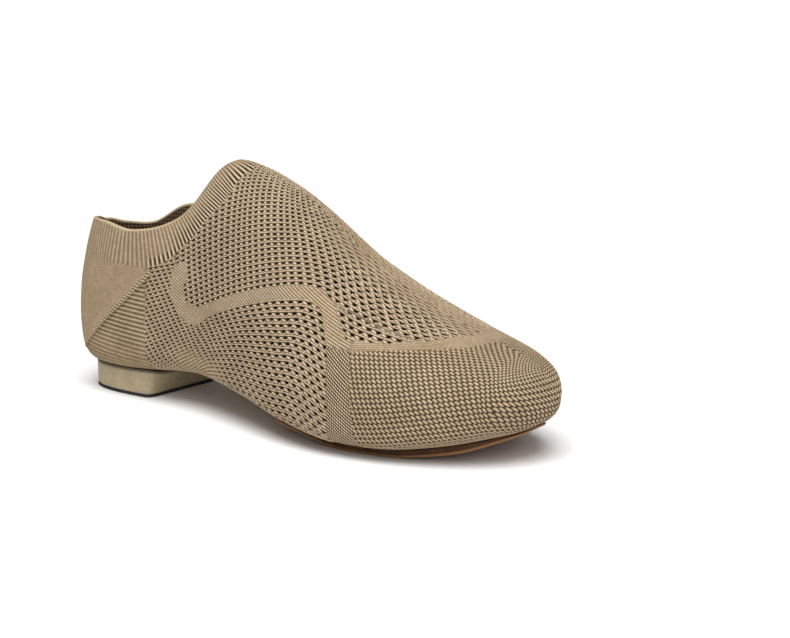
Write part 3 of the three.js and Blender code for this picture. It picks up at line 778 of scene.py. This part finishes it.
def slab(loop, low, high, rounding):
    """Closed solid between two surfaces over a plan loop. Rings of points run from the middle of the
    underside out, up the side round both edges, and back in over the top. Each ring has its plan, its rise
    from the lower surface at 0 to the upper one at 1, and how far the rounding keeps it off its surface."""
    into, middle = inward(loop), loop.mean(0)
    rim = loop + into * rounding
    outward = np.linspace(0, 0.96, 12)

    def edge(turn, rise):
        """Ring on a rounded edge, from flat at no turn to upright at a quarter turn and flat at a half."""
        return loop + into * rounding * (1 - math.sin(turn)), rise, rounding * (1 - abs(math.cos(turn)))

    rings = [(middle + (rim - middle) * t, 0, 0) for t in outward]
    rings += [edge(turn, 0) for turn in np.linspace(0, np.pi / 2, 7)]
    rings += [(loop, rise, rounding) for rise in (0.25, 0.5, 0.75)]
    rings += [edge(turn, 1) for turn in np.linspace(np.pi / 2, np.pi, 7)]
    rings += [(middle + (rim - middle) * t, 1, 0) for t in outward[::-1]]
    points, rises = [], []
    for plan, rise, inset in rings:
        bottom, top = low(*plan.T), high(*plan.T)
        inset = np.minimum(inset, (top - bottom) / 2)
        z = (bottom + inset) * (1 - rise) + (top - inset) * rise
        points.append(np.column_stack([plan, z]))
        rises.append(np.full(len(plan), rise, dtype=float))
    number = np.arange(len(rings) * len(loop)).reshape(len(rings), len(loop))
    number[0], number[-1] = number[0, 0], number[-1, 0]
    after = np.roll(number, -1, 1)
    quads = np.stack([number[:-1], after[:-1], after[1:], number[1:]], -1).reshape(-1, 4)
    rises = np.concatenate(rises)
    return np.concatenate(points), quads, {"rise": np.column_stack([rises] * 3)}


class Value(np.lib.mixins.NDArrayOperatorsMixin):
    """A number inside a material. Sums on it add Math nodes, so a formula of the knit is written once and
    serves arrays and materials."""

    SUMS = {"add": "ADD", "subtract": "SUBTRACT", "multiply": "MULTIPLY", "divide": "DIVIDE",
            "true_divide": "DIVIDE", "floor": "FLOOR", "rint": "ROUND", "cos": "COSINE",
            "maximum": "MAXIMUM", "minimum": "MINIMUM", "absolute": "ABSOLUTE"}

    def __init__(self, tree, socket):
        self.tree, self.socket = tree, socket

    def __array_ufunc__(self, ufunc, method, *inputs, **unused):
        made = self.tree.nodes.new("ShaderNodeMath")
        made.operation = self.SUMS[ufunc.__name__]
        for number, value in enumerate(inputs):
            if isinstance(value, Value):
                self.tree.links.new(value.socket, made.inputs[number])
            else:
                made.inputs[number].default_value = float(value)
        return Value(self.tree, made.outputs[0])


def plain_fields(fields, flat):
    """The fields of a plain sheet, ribbed where flat is 1 and of close small stitches where it is 0."""
    kept = {name: 0 * values for name, values in fields.items()}
    kept["toe_field"][:, :2] = fields["toe_field"][:, :2]
    kept["toe_field"][:, 2] = 1 - flat
    kept["fine_field"][:, 0] = fields["collar_field"][:, 0]
    kept["fine_field"][:, 1], kept["fine_field"][:, 2] = 1.4 * flat, flat
    return kept


def field_values(tree):
    """The knit's fields as values of a material, read from the mesh's attributes."""
    values = {}
    for name, parts in FIELDS.items():
        kept = node(tree, "ShaderNodeAttribute", attribute_name=name).outputs["Vector"]
        split = node(tree, "ShaderNodeSeparateXYZ", {0: kept})
        values.update({part: Value(tree, socket) for part, socket in zip(parts, split.outputs)})
    return values


def noise(tree, scale, detail):
    """Noise over the object's own place."""
    place = node(tree, "ShaderNodeTexCoord").outputs["Object"]
    made = node(tree, "ShaderNodeTexNoise", {"Vector": place, "Scale": scale, "Detail": detail})
    return Value(tree, made.outputs["Fac"])


def shared_group(tree, name, formula, **numbers):
    """Node of a group that materials share. The group is built once: its inputs are the given numbers, and
    its outputs are the values that the formula names."""
    if name not in bpy.data.node_groups:
        group = bpy.data.node_groups.new(name, "ShaderNodeTree")
        for key in numbers:
            group.interface.new_socket(key, in_out="INPUT", socket_type="NodeSocketFloat")
        given = group.nodes.new("NodeGroupInput").outputs
        results = formula(group, **{key: given[key] for key in numbers})
        for key in results:
            group.interface.new_socket(key, in_out="OUTPUT", socket_type="NodeSocketFloat")
        ends = group.nodes.new("NodeGroupOutput").inputs
        for key, value in results.items():
            group.links.new(value.socket, ends[key])
    made = node(tree, "ShaderNodeGroup", numbers, node_tree=bpy.data.node_groups[name])
    return {output.name: Value(tree, output) for output in made.outputs}


def knit_surface(group):
    """The knit's pattern with fine ribs, fibres and soft clouds over it."""
    c = field_values(group)
    fibre, blotch, broad = (noise(group, scale, 3.0) for scale in (1500.0, 420.0, 60.0))
    height, hole, yarn = pattern(c)
    # Fine ribs paint light and shade along their crests and grooves; fibre and clouds are tone that varies at
    # random
    ribs = (ring(c["fine_ribs"]) + 0.5 * ring(c["toe_stitches"] * (TOE_STITCH / FINE_STITCH))) * c["fine"]
    level = yarn + 0.16 * ribs + 0.36 * (fibre - 0.5) + 0.18 * (blotch - 0.5) + 0.16 * (broad - 0.5)
    return {"level": level, "hole": hole, "relief": 0.6 * height + 0.10 * ribs + 0.16 * fibre}


def grained_surface(group, scale):
    """Grain of the given scale, a tone that mixes it with broad clouds, and the rise up a slab's side."""
    grain, broad = noise(group, scale, 5.0), noise(group, 130.0, 5.0)
    kept = node(group, "ShaderNodeAttribute", attribute_name="rise").outputs["Vector"]
    rise = node(group, "ShaderNodeSeparateXYZ", {0: kept}).outputs[0]
    return {"tone": grain * 0.55 + broad * 0.45, "grain": grain, "rise": Value(group, rise)}


def bumped(tree, bsdf, relief, strength, distance):
    """Relief of a surface as a bump on its shader."""
    bump = node(tree, "ShaderNodeBump", {"Strength": strength, "Distance": distance, "Height": relief.socket})
    tree.links.new(bump.outputs[0], bsdf.inputs["Normal"])


def knit_material(name, light, mid, dark, hole_colour):
    """Matt knit: colour by yarn brightness, which is painted light and shade, with painted shade near black
    in the holes, and with fine ribs and fibre bumps.
    """
    material, tree, bsdf = shader(name)
    knit = shared_group(tree, "knit_surface", knit_surface)
    colour = ramp(tree, knit["level"].socket, [(0.12, dark), (0.56, mid), (0.98, light)])
    colour = mixed(tree, knit["hole"].socket, colour, hole_colour)
    tree.links.new(colour, bsdf.inputs["Base Color"])
    bsdf.inputs["Roughness"].default_value = 0.95
    bsdf.inputs["Specular IOR Level"].default_value = 0.10
    bsdf.inputs["Sheen Weight"].default_value = 0.06
    bsdf.inputs["Sheen Roughness"].default_value = 0.5
    bsdf.inputs["Sheen Tint"].default_value = (0.60, 0.45, 0.28, 1)
    bumped(tree, bsdf, knit["relief"], 0.7, 0.0008)
    return material


def plain_material(name, colour, deep, roughness, scale, bump, low=None, high=None):
    """Surface of two close tones of one colour with a grain of the given scale. A low colour shows along
    the bottom edge and a high one along the top edge: the suede sole's low colour is painted light and the
    heel's high colour painted shade."""
    material, tree, bsdf = shader(name)
    made = shared_group(tree, "grained_surface", grained_surface, scale=float(scale))
    grain, rise = made["grain"], made["rise"]
    tone = ramp(tree, made["tone"].socket, [(0.35, deep), (0.65, colour)])
    # The low colour is painted light along the bottom edge
    if low:
        tone = mixed(tree, smooth(0.26, 0.04, rise + 0.4 * (grain - 0.5)).socket, tone, low)
    # The high colour is painted shade along the top edge
    if high:
        tone = mixed(tree, smooth(0.84, 0.98, rise).socket, tone, high)
    tree.links.new(tone, bsdf.inputs["Base Color"])
    bsdf.inputs["Roughness"].default_value = roughness
    bsdf.inputs["Specular IOR Level"].default_value = 0.3
    bumped(tree, bsdf, grain, 0.6, bump)
    return material


def pale_floor():
    """Wide matt floor."""
    corners = FLOOR_REACH * np.array([[-1, -1, 0], [1, -1, 0], [1, 1, 0], [-1, 1, 0]])
    floor = make_object("floor", corners, np.array([[0, 1, 2, 3]]))
    material, _, bsdf = shader("pale_floor")
    bsdf.inputs["Base Color"].default_value = (0.90, 0.90, 0.90, 1)
    bsdf.inputs["Roughness"].default_value = 0.9
    bsdf.inputs["Specular IOR Level"].default_value = 0.1
    floor.data.materials.append(material)
    return floor


def suns(collection):
    """Wide suns that cast soft shadows."""
    lamps = []
    for name, (power, spread, turn) in SUNS.items():
        light = bpy.data.lights.new(name, "SUN")
        light.energy, light.angle = power, math.radians(spread)
        lamp = bpy.data.objects.new(name, light)
        lamp.location, lamp.rotation_euler = (0, 0, 2), [math.radians(part) for part in turn]
        collection.objects.link(lamp)
        lamps.append(lamp)
    return lamps


def round_light():
    """World that the camera sees as white and that lights the shoe weakly from all round."""
    world = bpy.data.worlds.new("studio")
    world.use_nodes = True
    tree = world.node_tree
    background = tree.nodes["Background"]
    background.inputs["Color"].default_value = (1, 1, 1, 1)
    seen = Value(tree, node(tree, "ShaderNodeLightPath").outputs["Is Camera Ray"])
    tree.links.new((seen + ROUND_LIGHT).socket, background.inputs["Strength"])
    return world


def fitted_camera(turn, rise, away):
    """Camera at a distance from its aim, turned round the shoe and raised above the floor."""
    right = np.array([math.cos(turn), math.sin(turn), 0])
    up = np.array([-math.sin(turn) * math.sin(rise), math.cos(turn) * math.sin(rise), math.cos(rise)])
    back = np.cross(right, up)
    place = np.array(CAMERA_AIM) - [HEEL_MIDDLE * MM, 0, 0]
    place = place + CAMERA_SHIFT[0] * right + CAMERA_SHIFT[1] * up + away * back
    camera = bpy.data.objects.new("camera", bpy.data.cameras.new("camera"))
    camera.data.sensor_width = 36
    camera.data.lens = CAMERA_LENS
    camera.data.clip_start = 0.01
    matrix = np.eye(4)
    matrix[:3, 0], matrix[:3, 1], matrix[:3, 2], matrix[:3, 3] = right, up, back, place
    camera.matrix_world = Matrix(matrix.tolist())
    return camera


class ShoeSettings(bpy.types.PropertyGroup):
    """Sizes of the stage."""

    camera_back: bpy.props.FloatProperty(
        name="Camera distance", description="Distance from the camera to the shoe's middle",
        default=0.5489, unit="LENGTH")
    camera_turn: bpy.props.FloatProperty(
        name="Camera turn", description="Turn of the camera round the shoe from the outer side",
        default=math.radians(36.31), subtype="ANGLE")
    camera_rise: bpy.props.FloatProperty(
        name="Camera rise", description="Angle of the camera above the floor",
        default=math.radians(11.0), subtype="ANGLE")
    knit_brightness: bpy.props.FloatProperty(
        name="Knit brightness", description="Brightness of the knit colours", default=1.0,
        min=0.2, max=2.0, subtype="FACTOR")


class SHOE_OT_knit(bpy.types.Operator):
    """Knit skin of the upper, in parts from the heel to the toe."""

    bl_idname = "shoe.knit"
    bl_label = "Knit skin"

    def execute(self, context):
        """Cut the skin model into parts by column and give each the knit material."""
        m = model()
        bright = context.scene.shoe_looks.knit_brightness
        tones = [tuple(c * bright for c in tone) for tone in TAN_TONES]
        material = knit_material("tan_knit", *tones, TAN_HOLE)
        cuts = np.linspace(0, ALONG - 1, len(SKIN_PARTS) + 1).astype(int)
        for name, start, stop in zip(SKIN_PARTS, cuts[:-1], cuts[1:]):
            quads = np.concatenate([m["outer_quads"][start:stop].reshape(-1, 4),
                                    m["inner_quads"][start:stop].reshape(-1, 4)])
            part = make_object(name, m["points"], quads, m["fields"], m["shown"])
            part.data.materials.append(material)
            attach(part, "root")
            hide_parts("upper")
        return {"FINISHED"}


class SHOE_OT_lining(bpy.types.Operator):
    """Rolled collar rim and the dark lining inside."""

    bl_idname = "shoe.lining"
    bl_label = "Collar rim and lining"

    def execute(self, context):
        """The rim is a half round from the skin to the lining; the lining is the form moved inwards."""
        m = model()
        peak, deep = m["peak"], int(np.argmax(m["u"] >= LINING_END))
        columns = np.concatenate([np.arange(0, peak, 2), np.arange(peak, deep, 2)])
        rows = np.concatenate([np.arange(0, DOWN - 1, 3), [DOWN - 1]])
        outer, inner = (grid_quads(m[side][np.ix_(columns, rows)])[..., [0, 3, 2, 1]].reshape(-1, 4)
                        for side in ("outer", "inner"))
        points = m["base"] - m["normals"] * WALL
        fields, rim_fields = plain_fields(m["fields"], 0), plain_fields(m["fields"], 1)
        # Painted shade: the rim's top, lit from above, is made darker
        rim_fields["seam_field"][:, 2] = 0.6
        lining = make_object("collar_lining", points, np.concatenate([outer, inner[:, ::-1]]), fields)
        lining.data.materials.append(knit_material("dark_lining", *LINING_TONES, LINING_HOLE))

        rim_points, faces, numbers = rolled_rim(m, points)
        kept = {name: values[numbers] for name, values in rim_fields.items()}
        round_rim = make_object("collar_rim", rim_points, faces, kept)
        round_rim.data.materials.append(bpy.data.materials["tan_knit"])
        for piece, slot in ((lining, "dark_lining"), (round_rim, "tan_knit")):
            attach(piece, "root")
            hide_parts("upper")
        return {"FINISHED"}


class SHOE_OT_solids(bpy.types.Operator):
    """Insole, suede forefoot sole, leather heel block and black lift."""

    bl_idname = "shoe.solids"
    bl_label = "Insole, sole and heel"

    def execute(self, context):
        """Each piece is a slab between two surfaces over its outline on the plan."""
        above = WALL + GAP

        def under_sole(x, y):
            """The lowest line let down to the floor, and raised again a little towards the toe."""
            return np.maximum(keel(x, y) - BALL_SEAT * (1 - SOLE_RAISE * smooth(224, 246, x)), 0)

        def under_form(x, y):
            """A gap below the form's underside."""
            return belly(x, y) - GAP

        def on_insole(x, y):
            """A level top over the lowest line, clear of the wall at the edges."""
            return np.maximum(keel(x, y) + above + INSOLE_THICKNESS, belly(x, y) + above + 0.3)

        sole = slab(sole_loop(), under_sole, under_form, 0.9)
        insole = slab(insole_loop(), lambda x, y: belly(x, y) + above, on_insole, 0.6)
        block = slab(heel_loop(), lambda x, y: HEEL_LIFT_HEIGHT + 0 * x, under_form, 0.5)
        height = np.maximum(block[0][:, 2] - HEEL_LIFT_HEIGHT, 0) / RAKE_HEIGHT
        block[0][:, 0] += HEEL_RAKE * height * smooth(RAKE_BACK, HEEL_FRONT, block[0][:, 0])
        lift = slab(heel_loop(), lambda x, y: 0 * x, lambda x, y: HEEL_LIFT_HEIGHT - 0.05 + 0 * x, 0.25)
        # The lift's sides are a little uneven, as cut
        ragged = 0.14 * np.sin(lift[0][:, 0] * 3.1 + 2 * np.sin(lift[0][:, 1] * 2.3))
        lift[0][:, 1] += ragged * np.sign(lift[0][:, 1])
        pieces = {
            # Painted shade: the insole's dark brown stands for the shade inside the shoe
            "felt_insole": (insole, "insole", "dark_lining", plain_material(
                "insole_felt", (0.10, 0.070, 0.045), (0.055, 0.038, 0.024), 0.95, 900, 0.0002)),
            # Painted light and shade on the suede: dark where the upper's overhang shades the edge, and the
            # lighter low colour along the lit bottom edge
            "suede_sole": (sole, "forefoot_sole", "brown_suede", plain_material(
                "brown_suede", (0.105, 0.050, 0.024), (0.040, 0.017, 0.008), 0.95, 1400, 0.0003,
                low=(0.26, 0.125, 0.052))),
            # Painted shadow: the high colour darkens the block's top edge, where it meets the upper
            "leather_heel": (block, "heel_block", "heel_leather", plain_material(
                "heel_leather", (0.45, 0.37, 0.236), (0.365, 0.295, 0.183), 0.62, 500, 0.00008,
                high=(0.09, 0.068, 0.042))),
            "rubber_lift": (lift, "heel_lift", "black_rubber", plain_material(
                "black_rubber", (0.030, 0.031, 0.036), (0.012, 0.012, 0.014), 0.7, 900, 0.0001)),
        }
        for name, ((points, quads, fields), solid, slot, material) in pieces.items():
            piece = make_object(name, points, quads, fields)
            piece.data.materials.append(material)
            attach(piece, "root")
            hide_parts(solid)
        return {"FINISHED"}


class SHOE_OT_stage(bpy.types.Operator):
    """Pale floor, soft light and the camera."""

    bl_idname = "shoe.stage"
    bl_label = "Stage and camera"

    def execute(self, context):
        """A pale floor, a soft sun above, a weaker one in front, and the camera of the photograph."""
        settings = context.scene.shoe_looks
        context.scene.world = round_light()
        camera = fitted_camera(settings.camera_turn, settings.camera_rise, settings.camera_back)
        context.scene.collection.objects.link(camera)
        context.scene.camera = camera
        context.scene.view_settings.view_transform = "Standard"
        pale_floor()
        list(suns(context.scene.collection))
        return {"FINISHED"}


class SHOE_PT_panel(bpy.types.Panel):
    """Buttons for the parts of the shoe."""

    bl_label = "Jazz shoe"
    bl_idname = "SHOE_PT_panel"
    bl_space_type = "VIEW_3D"
    bl_region_type = "UI"
    bl_category = "Shoe"

    def draw(self, context):
        """List the settings and the steps."""
        settings = context.scene.shoe_looks
        for name in ("camera_back", "camera_turn", "camera_rise", "knit_brightness"):
            self.layout.prop(settings, name)
        for step in STEPS:
            self.layout.operator(step.bl_idname)


STEPS = (SHOE_OT_knit, SHOE_OT_lining, SHOE_OT_solids, SHOE_OT_stage)
CLASSES = (ShoeSettings, *STEPS, SHOE_PT_panel)


def register():
    """Register the classes and the settings."""
    for cls in CLASSES:
        bpy.utils.register_class(cls)
    bpy.types.Scene.shoe_looks = bpy.props.PointerProperty(type=ShoeSettings)


def unregister():
    """Take the settings and the classes away again."""
    del bpy.types.Scene.shoe_looks
    for cls in reversed(CLASSES):
        bpy.utils.unregister_class(cls)


def main():
    """Build every piece in order."""
    register()
    for step in STEPS:
        group, name = step.bl_idname.split(".")
        result = getattr(getattr(bpy.ops, group), name)()
        if result != {"FINISHED"}:
            raise RuntimeError(f"{step.bl_idname} did not finish")


if __name__ == "__main__":
    main()
